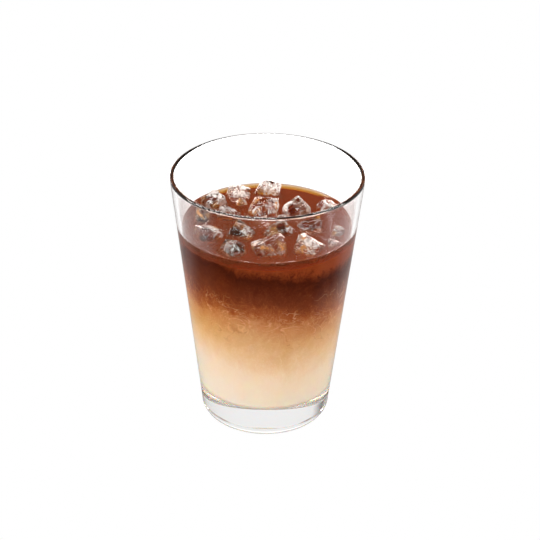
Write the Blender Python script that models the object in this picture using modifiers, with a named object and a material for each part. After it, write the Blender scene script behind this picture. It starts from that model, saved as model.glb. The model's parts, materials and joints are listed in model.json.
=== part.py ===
"""Iced latte in a heavy-based glass tumbler, with ice floating in the coffee.

The origin is the centre of the foot, on the plane the glass stands on, and +Z points up
out of the mouth. Lengths are in metres.
"""

import math
import random

import bmesh
import bpy
from mathutils import Euler, Vector

MM = 0.001

# Tumbler
HEIGHT = 0.123
RIM_RADIUS = 0.044
HEEL_WALL_RADIUS = 0.030
HEEL_ROUND = 0.0064
FOOT_RING_WIDTH = 0.0030
FOOT_RECESS = 0.0009
FOOT_RECESS_RUN = 0.0018
WALL = 0.0022
FLOOR_THICKNESS = 0.0158
INNER_CORNER_ROUND = 0.0030
TURN_STEPS = 64
CORNER_STEPS = 5
LIP_STEPS = 6
HEEL_STEPS = 6
MERGE_DISTANCE = 0.00005

# Drink
LIQUID_LEVEL = 0.0982
MIXED_TOP = 0.0775
MILK_TOP = 0.0585
PIECE_GAP = 0.0003
MENISCUS_RISE = 0.0008
MENISCUS_REACH = 0.0022
MENISCUS_BEND = (2 / 3, 1 / 4)
SURFACE_RINGS = 4
CALM_RINGS = 3

# The cloud line between the layers hangs lower at +X and rolls round the glass, in waves
# given as how many go round, their phase and their share of the wave height.
CLOUD_TILT = -0.0425
CLOUD_WAVE = 0.0012
CLOUD_ROLLS = ((2, 0.7, 1.0), (3, 2.1, 0.6))
CLOUD_FADE = 0.010

# Ice
ICE_EDGE_ROUND = 0.0015
ICE_EDGE_SHARE = 0.16
ICE_CORNER_WANDER = 0.10
ICE_BEVEL_SEGMENTS = 2
ICE_CORNERS_OFF = 2
ICE_CORNER_CUT = (0.20, 0.34)
ICE_CUT_LEAN = 0.35
ICE_CUT_CLEARANCE = 0.00038

# Each block: name, centre on the liquid plane (mm), how far its middle lies above the
# liquid (mm), its three sizes (mm), its turn about X, Y and Z (degrees) and a draw seed.
ICE_BLOCKS = (
    ("ice_back_left", (-24.0, 19.5), -1.4, (9.0, 8.0, 11.0), (14, -18, 40), 3),
    ("ice_back_white", (-13.6, 28.8), -1.2, (10.0, 7.6, 11.5), (-12, 12, 14), 5),
    ("ice_back_centre", (-0.6, 31.8), -0.6, (10.0, 7.0, 12.5), (6, 34, 2), 8),
    ("ice_centre", (-1.8, 12.6), -0.8, (13.0, 11.5, 13.0), (-20, 20, 22), 11),
    ("ice_centre_right", (13.4, 12.0), -1.4, (10.5, 10.0, 11.5), (22, -22, 40), 14),
    ("ice_right_back", (27.0, 17.2), -2.6, (8.5, 8.0, 9.0), (12, 22, 30), 17),
    ("ice_left_back", (-17.6, 9.8), -3.8, (10.5, 8.5, 11.5), (-12, 14, -18), 21),
    ("ice_left_wall", (-30.0, 5.4), -2.6, (8.0, 9.5, 10.0), (14, 12, 10), 24),
    ("ice_left", (-25.8, -11.6), -3.2, (11.5, 11.5, 12.0), (-12, 16, 24), 27),
    ("ice_centre_left", (-11.4, -7.4), -4.2, (11.5, 9.5, 11.5), (18, 14, -28), 30),
    ("ice_middle", (4.4, -6.0), -4.6, (13.0, 9.5, 12.0), (8, -12, 22), 36),
    ("ice_right", (20.6, -2.0), -3.4, (11.5, 10.0, 11.5), (12, -18, 16), 45),
    ("ice_right_wall", (32.0, -7.8), -3.0, (6.5, 8.5, 9.5), (8, 10, -14), 48),
    ("ice_front_left", (-15.0, -24.2), -3.8, (11.0, 10.5, 12.0), (14, 18, 38), 39),
    ("ice_front", (2.2, -24.4), -2.8, (14.5, 11.0, 13.0), (-14, -14, 18), 33),
    ("ice_front_right", (17.8, -22.6), -2.0, (10.5, 10.0, 12.5), (-18, 16, -26), 42),
    ("ice_chip_centre", (6.8, 4.2), -0.6, (4.8, 4.4, 4.6), (24, 18, 30), 51),
    ("ice_chip_left", (-12.2, 19.8), -0.8, (4.8, 4.2, 4.6), (18, 30, 12), 54),
    ("ice_chip_right", (29.2, -18.2), -0.8, (4.8, 4.2, 4.4), (12, 24, 40), 57),
)

# Colour (linear RGB), roughness, transmission
GLASS_FINISH = ((0.92, 0.94, 0.94), 0.02, 1.0)
MILK_FINISH = ((0.80, 0.62, 0.38), 0.30, 0.0)
MIXED_FINISH = ((0.40, 0.17, 0.06), 0.28, 0.0)
COFFEE_FINISH = ((0.10, 0.022, 0.008), 0.15, 0.0)
ICE_FINISH = ((0.86, 0.90, 0.92), 0.06, 0.9)


def clear_scene():
    for obj in list(bpy.data.objects):
        bpy.data.objects.remove(obj, do_unlink=True)


def new_collection(name):
    collection = bpy.data.collections.new(name)
    bpy.context.scene.collection.children.link(collection)
    return collection


def new_material(name, finish):
    colour, roughness, transmission = finish
    material = bpy.data.materials.new(name)
    material.use_nodes = True
    shader = material.node_tree.nodes["Principled BSDF"]
    shader.inputs["Base Color"].default_value = (*colour, 1.0)
    shader.inputs["Roughness"].default_value = roughness
    shader.inputs["Metallic"].default_value = 0.0
    shader.inputs["Transmission Weight"].default_value = transmission
    return material


def outer_radius(z):
    """Radius of the tumbler's outer wall, a straight taper from heel to rim."""
    slope = (RIM_RADIUS - HEEL_WALL_RADIUS) / (HEIGHT - HEEL_ROUND)
    return HEEL_WALL_RADIUS + slope * (z - HEEL_ROUND)


def inner_radius(z):
    return outer_radius(z) - WALL


def arc(centre, radius, start_deg, end_deg, count):
    """Points (r, z) on an arc, both ends included."""
    points = []
    for i in range(count + 1):
        angle = math.radians(start_deg + (end_deg - start_deg) * i / count)
        points.append(
            (centre[0] + radius * math.cos(angle), centre[1] + radius * math.sin(angle))
        )
    return points


def inner_corner():
    """Centre (r, z) of the round between the inner floor and the inner wall."""
    height = FLOOR_THICKNESS + INNER_CORNER_ROUND
    return (inner_radius(height) - INNER_CORNER_ROUND, height)


def tumbler_profile():
    """Half section of the glass: inner floor, inner wall, lip, outer wall, heel, foot."""
    corner = inner_corner()
    lip_round = WALL / 2
    lip_centre = (RIM_RADIUS - lip_round, HEIGHT - lip_round)
    heel_centre = (HEEL_WALL_RADIUS - HEEL_ROUND, HEEL_ROUND)
    ring_inner = heel_centre[0] - FOOT_RING_WIDTH
    profile = [(0.0, FLOOR_THICKNESS), (corner[0] / 2, FLOOR_THICKNESS)]
    profile += arc(corner, INNER_CORNER_ROUND, -90, 0, CORNER_STEPS)
    profile += arc(lip_centre, lip_round, 180, 0, LIP_STEPS)
    profile += arc(heel_centre, HEEL_ROUND, 0, -90, HEEL_STEPS)
    profile += [
        (ring_inner, 0.0),
        (ring_inner - FOOT_RECESS_RUN, FOOT_RECESS),
        (0.0, FOOT_RECESS),
    ]
    return profile


def profile_mesh(name, profile):
    """A polyline in the XZ plane from (r, z) points."""
    mesh = bpy.data.meshes.new(name)
    shape = bmesh.new()
    points = [shape.verts.new((r, 0.0, z)) for r, z in profile]
    for first, second in zip(points, points[1:]):
        shape.edges.new((first, second))
    shape.to_mesh(mesh)
    shape.free()
    return mesh


def turned(name, profile, material, collection):
    """A solid of revolution about Z, from a profile that runs down its outer side."""
    obj = bpy.data.objects.new(name, profile_mesh(name, profile))
    obj.data.materials.append(material)
    collection.objects.link(obj)
    screw = obj.modifiers.new("Turn", "SCREW")
    screw.axis = "Z"
    screw.angle = math.tau
    screw.steps = TURN_STEPS
    screw.render_steps = TURN_STEPS
    screw.use_merge_vertices = True
    screw.merge_threshold = MERGE_DISTANCE
    screw.use_smooth_shade = True
    return obj


def baked(obj):
    """The object with its modifiers applied, so that its vertices can be moved."""
    graph = bpy.context.evaluated_depsgraph_get()
    graph.update()
    mesh = bpy.data.meshes.new_from_object(obj.evaluated_get(graph))
    obj.modifiers.clear()
    obj.data = mesh
    return obj


def smooth_ramp(t):
    t = min(1.0, max(0.0, t))
    return t * t * (3 - 2 * t)


def cloud_height(x, y):
    """How far the boundary between two layers rises or falls at a point in plan."""
    angle = math.atan2(y, x)
    share = math.hypot(x, y) / RIM_RADIUS
    roll = sum(size * math.sin(count * angle + phase) for count, phase, size in CLOUD_ROLLS)
    return CLOUD_TILT * x + CLOUD_WAVE * roll * share * share


def roll_clouds(obj):
    """Moves the layer boundaries up and down, and keeps the side on the glass wall."""
    for vertex in obj.data.vertices:
        x, y, z = vertex.co
        below = smooth_ramp((z - (MILK_TOP - CLOUD_FADE - PIECE_GAP)) / CLOUD_FADE)
        above = smooth_ramp((MIXED_TOP + PIECE_GAP + CLOUD_FADE - z) / CLOUD_FADE)
        moved = z + cloud_height(x, y) * below * above
        scale = side_radius(moved) / side_radius(z)
        vertex.co = (x * scale, y * scale, moved)


def side_radius(z):
    """Radius of the drink, a hair inside the glass."""
    return inner_radius(z) - PIECE_GAP


def disc_radii(rim):
    return [rim * i / SURFACE_RINGS for i in range(SURFACE_RINGS)]


def milk_profile():
    """The bottom layer, rounded where it fills the corner of the glass."""
    top = MILK_TOP - PIECE_GAP / 2
    profile = [(r, top) for r in disc_radii(side_radius(top))]
    profile.append((side_radius(top), top))
    profile.append((side_radius(MILK_TOP - CLOUD_FADE), MILK_TOP - CLOUD_FADE))
    profile += arc(inner_corner(), INNER_CORNER_ROUND - PIECE_GAP, 0, -90, CORNER_STEPS)
    profile.append((0.0, FLOOR_THICKNESS + PIECE_GAP))
    return profile


def layer_profile(top, bottom):
    """A plain layer between two cloud lines."""
    high = top - PIECE_GAP / 2
    low = bottom + PIECE_GAP / 2
    middle = (high + low) / 2
    profile = [(r, high) for r in disc_radii(side_radius(high))]
    profile += [(side_radius(z), z) for z in (high, middle, low)]
    profile += [(r, low) for r in reversed(disc_radii(side_radius(low)))]
    return profile


def coffee_profile():
    """The top layer, with a meniscus that climbs the glass."""
    low = MIXED_TOP + PIECE_GAP / 2
    rim = side_radius(LIQUID_LEVEL + MENISCUS_RISE)
    foot = rim - MENISCUS_REACH
    across, up = MENISCUS_BEND
    profile = [(foot * i / CALM_RINGS, LIQUID_LEVEL) for i in range(CALM_RINGS + 1)]
    profile.append((foot + across * MENISCUS_REACH, LIQUID_LEVEL + up * MENISCUS_RISE))
    profile.append((rim, LIQUID_LEVEL + MENISCUS_RISE))
    profile.append((side_radius(MIXED_TOP + CLOUD_FADE), MIXED_TOP + CLOUD_FADE))
    profile.append((side_radius(low), low))
    profile += [(r, low) for r in reversed(disc_radii(side_radius(low)))]
    return profile


def knock_off_corner(shape, corner, draw):
    """Cuts a flat facet where a corner of the unit block was."""
    lean = Vector([draw.uniform(-ICE_CUT_LEAN, ICE_CUT_LEAN) for _ in range(3)])
    normal = (corner.normalized() + lean).normalized()
    depth = draw.uniform(*ICE_CORNER_CUT)
    bmesh.ops.bisect_plane(
        shape,
        geom=shape.verts[:] + shape.edges[:] + shape.faces[:],
        plane_co=corner - normal * depth,
        plane_no=normal,
        clear_outer=True,
    )
    open_edges = [edge for edge in shape.edges if edge.is_boundary]
    bmesh.ops.holes_fill(shape, edges=open_edges)


def ice_shape(sizes_mm, seed):
    """A melted block: a box with wandering corners, some knocked off, and round edges."""
    draw = random.Random(seed)
    shape = bmesh.new()
    bmesh.ops.create_cube(shape, size=1.0)
    for vertex in shape.verts:
        vertex.co += Vector(
            [draw.uniform(-ICE_CORNER_WANDER, ICE_CORNER_WANDER) for _ in range(3)]
        )
    corners = [vertex.co.copy() for vertex in shape.verts]
    for corner in draw.sample(corners, ICE_CORNERS_OFF):
        knock_off_corner(shape, corner, draw)
    for vertex in shape.verts:
        vertex.co = Vector([c * size * MM for c, size in zip(vertex.co, sizes_mm)])
    bmesh.ops.bevel(
        shape,
        geom=shape.edges[:],
        offset=min(ICE_EDGE_ROUND, min(sizes_mm) * MM * ICE_EDGE_SHARE),
        offset_type="OFFSET",
        segments=ICE_BEVEL_SEGMENTS,
        profile=0.5,
        affect="EDGES",
        material=-1,
        clamp_overlap=True,
    )
    bmesh.ops.triangulate(shape, faces=shape.faces[:])
    bmesh.ops.recalc_face_normals(shape, faces=shape.faces[:])
    return shape


def fatten(shape, distance):
    """Moves every face out by the distance, through its vertices."""
    shape.normal_update()
    moves = [(vertex, vertex.normal * vertex.calc_shell_factor()) for vertex in shape.verts]
    for vertex, move in moves:
        vertex.co += move * distance


def ice_object(name, block, extra, material, collection):
    """One block of ice, grown by extra metres all round when it serves as a cutter."""
    _, centre, rise, sizes_mm, turn, seed = block
    shape = ice_shape(sizes_mm, seed)
    if extra:
        fatten(shape, extra)
    mesh = bpy.data.meshes.new(name)
    shape.to_mesh(mesh)
    shape.free()
    mesh.materials.append(material)
    mesh.shade_smooth()
    obj = bpy.data.objects.new(name, mesh)
    obj.location = (centre[0] * MM, centre[1] * MM, LIQUID_LEVEL + rise * MM)
    obj.rotation_euler = Euler([math.radians(a) for a in turn])
    collection.objects.link(obj)
    return obj


def cut_round_ice(coffee, cutters):
    cut = coffee.modifiers.new("Ice pockets", "BOOLEAN")
    cut.operation = "DIFFERENCE"
    cut.operand_type = "COLLECTION"
    cut.collection = cutters
    cut.solver = "EXACT"


def build():
    clear_scene()
    latte = new_collection("iced_latte")
    cutters = new_collection("ice_pockets")
    glass_material = new_material("clear_glass", GLASS_FINISH)
    ice_material = new_material("clear_ice", ICE_FINISH)
    milk_material = new_material("milk", MILK_FINISH)
    mixed_material = new_material("milky_coffee", MIXED_FINISH)
    coffee_material = new_material("coffee", COFFEE_FINISH)

    turned("tumbler", tumbler_profile(), glass_material, latte)
    milk = turned("milk", milk_profile(), milk_material, latte)
    mixed = turned("milky_coffee", layer_profile(MIXED_TOP, MILK_TOP), mixed_material, latte)
    coffee = turned("coffee", coffee_profile(), coffee_material, latte)
    for layer in (milk, mixed, coffee):
        roll_clouds(baked(layer))

    for block in ICE_BLOCKS:
        ice_object(block[0], block, 0.0, ice_material, latte)
        cutter = ice_object(block[0] + "_pocket", block, ICE_CUT_CLEARANCE, ice_material, cutters)
        cutter.hide_render = True
        cutter.display_type = "WIRE"
    cut_round_ice(coffee, cutters)


build()
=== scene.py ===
"""Looks of an iced latte in a tapered, thick-based glass tumbler.

The glass, the layers of the drink and every piece of ice are made again in fine detail
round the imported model, which stays their measure. Lengths are in metres, and +Z is up.
"""

import json
import logging
import math
from dataclasses import dataclass
from enum import Enum
from typing import Iterable, Optional, Sequence

import bmesh
import bpy
from mathutils import Matrix, Vector, noise

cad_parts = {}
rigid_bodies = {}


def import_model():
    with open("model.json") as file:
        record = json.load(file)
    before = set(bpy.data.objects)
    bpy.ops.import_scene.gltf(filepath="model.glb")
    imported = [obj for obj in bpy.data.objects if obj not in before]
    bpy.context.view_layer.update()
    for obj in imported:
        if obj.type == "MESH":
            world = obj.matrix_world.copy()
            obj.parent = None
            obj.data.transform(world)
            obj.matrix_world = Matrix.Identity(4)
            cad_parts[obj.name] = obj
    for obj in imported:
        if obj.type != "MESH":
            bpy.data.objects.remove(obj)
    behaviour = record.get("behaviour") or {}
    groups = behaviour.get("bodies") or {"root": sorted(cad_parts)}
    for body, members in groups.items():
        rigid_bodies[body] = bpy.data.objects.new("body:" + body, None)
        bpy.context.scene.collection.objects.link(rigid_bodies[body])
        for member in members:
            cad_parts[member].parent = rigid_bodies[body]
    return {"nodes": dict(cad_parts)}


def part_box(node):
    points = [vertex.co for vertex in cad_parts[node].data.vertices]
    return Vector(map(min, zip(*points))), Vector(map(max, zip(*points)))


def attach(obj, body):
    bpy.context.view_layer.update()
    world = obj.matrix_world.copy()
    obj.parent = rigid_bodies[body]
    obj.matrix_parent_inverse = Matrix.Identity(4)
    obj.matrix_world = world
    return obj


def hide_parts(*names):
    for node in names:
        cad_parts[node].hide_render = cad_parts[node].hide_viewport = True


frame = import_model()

LOG = logging.getLogger("iced_latte")
BODY = "root"
MM = 0.001
SAME_PLACE = 1e-6
Point = tuple[float, float]
Colour = tuple[float, float, float]
WHITE: Colour = (1.0, 1.0, 1.0)
BLACK: Colour = (0.0, 0.0, 0.0)


class Slot(Enum):
    """The record's material slots."""

    GLASS = "clear_glass"
    MILK = "milk"
    COFFEE = "coffee"
    ICE = "ice"


def srgb(red: int, green: int, blue: int) -> Colour:
    """A colour given as the eye sees it, turned into linear light.

    Args:
        red: Red, 0 to 255.
        green: Green, 0 to 255.
        blue: Blue, 0 to 255.

    Returns:
        The linear colour.
    """
    def linear(value: int) -> float:
        """One channel, made linear."""
        share = value / 255
        return share / 12.92 if share <= 0.04045 else ((share + 0.055) / 1.055) ** 2.4

    return (linear(red), linear(green), linear(blue))


def smooth_ramp(share: float) -> float:
    """Rises smoothly from 0 at a share of 0 to 1 at a share of 1, and stays level outside them."""
    share = min(1.0, max(0.0, share))
    return share * share * (3 - 2 * share)


def arc(centre: Point, radius: float, start: float, end: float, count: int) -> list[Point]:
    """Points along an arc in the half plane of a turned profile.

    Args:
        centre: Centre as (radius, height).
        radius: Radius of the arc.
        start: First angle in degrees, 0 pointing outwards.
        end: Last angle in degrees.
        count: How many steps it is cut into.

    Returns:
        The points (radius, height), both ends included.
    """
    points = []
    for i in range(count + 1):
        angle = math.radians(start + (end - start) * i / count)
        points.append((centre[0] + radius * math.cos(angle), centre[1] + radius * math.sin(angle)))
    return points


def spun(profile: Sequence[Point], steps: int) -> bmesh.types.BMesh:
    """Turns a profile round the vertical axis into a closed shape.

    Args:
        profile: Points (radius, height), from one end on the axis to the other.
        steps: How many sides a full turn has.

    Returns:
        The turned shape, its poles closed and its faces outwards.
    """
    shape = bmesh.new()
    points = [shape.verts.new((radius, 0.0, height)) for radius, height in profile]
    edges = [shape.edges.new(pair) for pair in zip(points, points[1:])]
    bmesh.ops.spin(
        shape,
        geom=points + edges,
        cent=(0, 0, 0),
        axis=(0, 0, 1),
        angle=math.tau,
        steps=steps,
        use_merge=True,
        use_duplicate=False,
    )
    bmesh.ops.remove_doubles(shape, verts=shape.verts[:], dist=SAME_PLACE)
    bmesh.ops.recalc_face_normals(shape, faces=shape.faces[:])
    return shape


def as_object(name: str, shape: bmesh.types.BMesh, material: bpy.types.Material) -> bpy.types.Object:
    """Puts a finished shape into the scene as a smooth-shaded object.

    Args:
        name: Name of the piece.
        shape: The shape, which is freed.
        material: Its finish.

    Returns:
        The new object, at the origin and unturned.
    """
    mesh = bpy.data.meshes.new(name)
    shape.to_mesh(mesh)
    shape.free()
    mesh.materials.append(material)
    mesh.shade_smooth()
    piece = bpy.data.objects.new(name, mesh)
    bpy.context.scene.collection.objects.link(piece)
    return piece


def dressed(piece: bpy.types.Object, nodes: Iterable[str] = ()) -> bpy.types.Object:
    """Fixes a piece to the body and hides the solids that it replaces.

    Args:
        piece: The piece, in place.
        nodes: The solids that it replaces.

    Returns:
        The same piece.
    """
    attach(piece, BODY)
    if nodes:
        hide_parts(*nodes)
    LOG.info("%s: %d faces", piece.name, len(piece.data.polygons))
    return piece


def with_modifier(piece: bpy.types.Object, kind: str, **settings: object) -> None:
    """Adds one modifier to a piece and applies it.

    Args:
        piece: The piece to change.
        kind: Blender's name for the modifier.
        settings: Its settings.
    """
    modifier = piece.modifiers.new(kind.title(), kind)
    for key, value in settings.items():
        setattr(modifier, key, value)
    graph = bpy.context.evaluated_depsgraph_get()
    graph.update()
    mesh = bpy.data.meshes.new_from_object(piece.evaluated_get(graph))
    piece.modifiers.clear()
    old = piece.data
    piece.data = mesh
    bpy.data.meshes.remove(old)


@dataclass(frozen=True)
class Pattern:
    """A noise pattern on a piece's own coordinates."""

    scale: float
    detail: float
    distortion: float = 0.0
    stretch: tuple[float, float, float] = (1, 1, 1)
    shift: tuple[float, float, float] = (0, 0, 0)
    roughness: float = 0.55


class Nodes:
    """A node tree, with short calls for the nodes that the finishes and the studio use."""

    def __init__(self, tree: bpy.types.NodeTree, output: str) -> None:
        """Empties a tree and gives it an output.

        Args:
            tree: The node tree.
            output: The output node's type.
        """
        self.tree = tree
        self.tree.nodes.clear()
        self.output = self.add(output)

    def add(self, kind: str, **inputs: object) -> bpy.types.Node:
        """Adds a node.

        Args:
            kind: The node's type.
            inputs: Values for its sockets or its own settings, with _ for a space.

        Returns:
            The node.
        """
        node = self.tree.nodes.new(kind)
        for key, value in inputs.items():
            socket = node.inputs.get(key.replace("_", " "))
            if socket is None:
                setattr(node, key, value)
            elif isinstance(value, bpy.types.NodeSocket):
                self.tree.links.new(value, socket)
            elif isinstance(value, tuple) and len(value) == 3 and socket.type == "RGBA":
                socket.default_value = (*value, 1.0)
            else:
                socket.default_value = value
        return node

    def parts(self, kind: str = "Object") -> bpy.types.Node:
        """A texture coordinate taken apart, with outputs X, Y and Z."""
        return self.add("ShaderNodeSeparateXYZ", Vector=self.add("ShaderNodeTexCoord").outputs[kind])

    def pattern(self, look: Pattern) -> bpy.types.NodeSocket:
        """A noise pattern that sticks to the piece.

        Args:
            look: Its sizes.

        Returns:
            The socket of its strength, 0 to 1.
        """
        where = self.add("ShaderNodeMapping", Vector=self.add("ShaderNodeTexCoord").outputs["Object"])
        where.inputs["Scale"].default_value = look.stretch
        where.inputs["Location"].default_value = look.shift
        texture = self.add(
            "ShaderNodeTexNoise",
            Vector=where.outputs["Vector"],
            Scale=look.scale,
            Detail=look.detail,
            Distortion=look.distortion,
            Roughness=look.roughness,
        )
        return texture.outputs["Fac"]

    def math(self, operation: str, first: object, second: object = 0.0, third: object = 0.0,
             clamp: bool = False) -> bpy.types.NodeSocket:
        """One step of arithmetic.

        Args:
            operation: What to do, such as MULTIPLY.
            first: A socket or a number.
            second: A socket or a number.
            third: A socket or a number.
            clamp: Whether the result stays between 0 and 1.

        Returns:
            The result's socket.
        """
        node = self.add("ShaderNodeMath", operation=operation, use_clamp=clamp)
        for socket, value in zip(node.inputs, (first, second, third)):
            if isinstance(value, bpy.types.NodeSocket):
                self.tree.links.new(value, socket)
            else:
                socket.default_value = value
        return node.outputs[0]

    def ramp(self, factor: bpy.types.NodeSocket, stops: Sequence[tuple[float, Colour]],
             interpolation: str = "LINEAR") -> bpy.types.NodeSocket:
        """A colour that follows a factor.

        Args:
            factor: The factor's socket.
            stops: Pairs of place and colour, in order.
            interpolation: How colours run between the stops.

        Returns:
            The colour's socket.
        """
        node = self.add("ShaderNodeValToRGB", Fac=factor)
        band = node.color_ramp
        band.interpolation = interpolation
        while len(band.elements) < len(stops):
            band.elements.new(1.0)
        for element, (place, colour) in zip(band.elements, stops):
            element.position = place
            element.color = (*colour, 1.0)
        return node.outputs["Color"]

    def mix(self, factor: object, first: object, second: object, blend: str = "MIX") -> bpy.types.NodeSocket:
        """Two colours mixed.

        Args:
            factor: A socket or a number.
            first: A socket or a colour.
            second: A socket or a colour.
            blend: How they are blended.

        Returns:
            The colour's socket.
        """
        node = self.add("ShaderNodeMix", data_type="RGBA", blend_type=blend)
        for name, value in (("Factor_Float", factor), ("A_Color", first), ("B_Color", second)):
            socket = next(entry for entry in node.inputs if entry.identifier == name)
            if isinstance(value, bpy.types.NodeSocket):
                self.tree.links.new(value, socket)
            else:
                socket.default_value = value if name == "Factor_Float" else (*value, 1.0)
        return next(result for result in node.outputs if result.identifier == "Result_Color")

    def bump(self, height: bpy.types.NodeSocket, depth: float) -> bpy.types.NodeSocket:
        """The normal of a bumpy surface, from a height and its depth in metres."""
        return self.add("ShaderNodeBump", Height=height, Strength=1.0, Distance=depth).outputs["Normal"]


class Shader(Nodes):
    """A material's node tree."""

    def __init__(self, name: str) -> None:
        """Starts an empty material with an output.

        Args:
            name: Name of the material.
        """
        self.material = bpy.data.materials.new(name)
        self.material.use_nodes = True
        super().__init__(self.material.node_tree, "ShaderNodeOutputMaterial")

    def beyond(self, radius: float, slope: float) -> bpy.types.NodeSocket:
        """Tells the outer side of an upright cone from the inner one.

        Args:
            radius: The cone's radius at height 0.
            slope: How fast it widens with height.

        Returns:
            A socket that is 1 outside the cone and 0 inside.
        """
        where = self.parts()
        across = self.math("POWER", where.outputs["X"], 2.0)
        along = self.math("POWER", where.outputs["Y"], 2.0)
        away = self.math("SQRT", self.math("ADD", across, along))
        return self.math("GREATER_THAN", away, self.math("MULTIPLY_ADD", where.outputs["Z"], slope, radius))

    def above(self, level: float) -> bpy.types.NodeSocket:
        """A socket that is 1 over a level and 0 under it."""
        return self.math("GREATER_THAN", self.parts().outputs["Z"], level)

    def show(self, surface: bpy.types.NodeSocket,
             volume: Optional[bpy.types.NodeSocket] = None) -> bpy.types.Material:
        """Joins the finished shaders to the output.

        Args:
            surface: The surface shader.
            volume: What fills the inside, if anything.

        Returns:
            The finished material.
        """
        self.tree.links.new(surface, self.output.inputs["Surface"])
        if volume is not None:
            self.tree.links.new(volume, self.output.inputs["Volume"])
        return self.material

    def glow(self, colour: object, strength: object = 1.0) -> bpy.types.Material:
        """Finishes the material as a plain glow, each value a socket or a plain one."""
        return self.show(self.add("ShaderNodeEmission", Color=colour, Strength=strength).outputs[0])

    def blend(self, share: object, first: bpy.types.NodeSocket,
              second: bpy.types.NodeSocket) -> bpy.types.NodeSocket:
        """Two shaders mixed.

        Args:
            share: How much of the second shows, a socket or a number.
            first: A shader.
            second: A shader.

        Returns:
            The mixed shader.
        """
        mixed = self.add("ShaderNodeMixShader", Fac=share)
        self.tree.links.new(first, mixed.inputs[1])
        self.tree.links.new(second, mixed.inputs[2])
        return mixed.outputs[0]

    def lamps_pass(self, surface: bpy.types.NodeSocket, tint: Colour) -> bpy.types.NodeSocket:
        """Lets the light of lamps through a clear surface, as real glass does.

        Args:
            surface: The clear shader.
            tint: What the passing light is tinted with.

        Returns:
            The mixed shader.
        """
        shadow = self.add("ShaderNodeLightPath").outputs["Is Shadow Ray"]
        return self.blend(shadow, surface, self.add("ShaderNodeBsdfTransparent", Color=tint).outputs[0])


@dataclass(frozen=True)
class GlassFinish:
    """Clear soda glass with the faint waves of its mould. The drink darkens what its inside mirrors."""

    wet_radius: float
    wet_slope: float
    wet_level: float
    tint: Colour = WHITE
    lamp_tint: Colour = (0.95, 0.95, 0.95)
    ior: float = 1.5
    waves: Pattern = Pattern(1 / 0.018, 1.0, stretch=(1, 1, 0.5))
    wave_depth: float = 0.02 * MM
    wet_stops: tuple[tuple[float, Colour], ...] = ((0.30, (0.90, 0.86, 0.80)), (0.70, (0.42, 0.24, 0.15)))

    def material(self) -> bpy.types.Material:
        """Makes the glass.

        Returns:
            The material.
        """
        shader = Shader("tumbler_glass")
        outside = shader.beyond(self.wet_radius, self.wet_slope)
        dry = shader.math("MAXIMUM", outside, shader.above(self.wet_level))
        share = shader.math("DIVIDE", shader.parts().outputs["Z"], self.wet_level)
        wet = shader.ramp(share, self.wet_stops)
        body = shader.add(
            "ShaderNodeBsdfPrincipled",
            Base_Color=self.tint,
            Roughness=0.0,
            IOR=self.ior,
            Transmission_Weight=1.0,
            Specular_Tint=shader.mix(dry, wet, WHITE),
            Normal=shader.bump(shader.pattern(self.waves), self.wave_depth),
        )
        return shader.show(shader.lamps_pass(body.outputs[0], self.lamp_tint))


@dataclass(frozen=True)
class Wisp:
    """Fine curls of one colour, and the shares of the drink's depth between which they show."""

    colour: Colour
    centre: float
    strength: float
    low: float
    high: float


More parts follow.
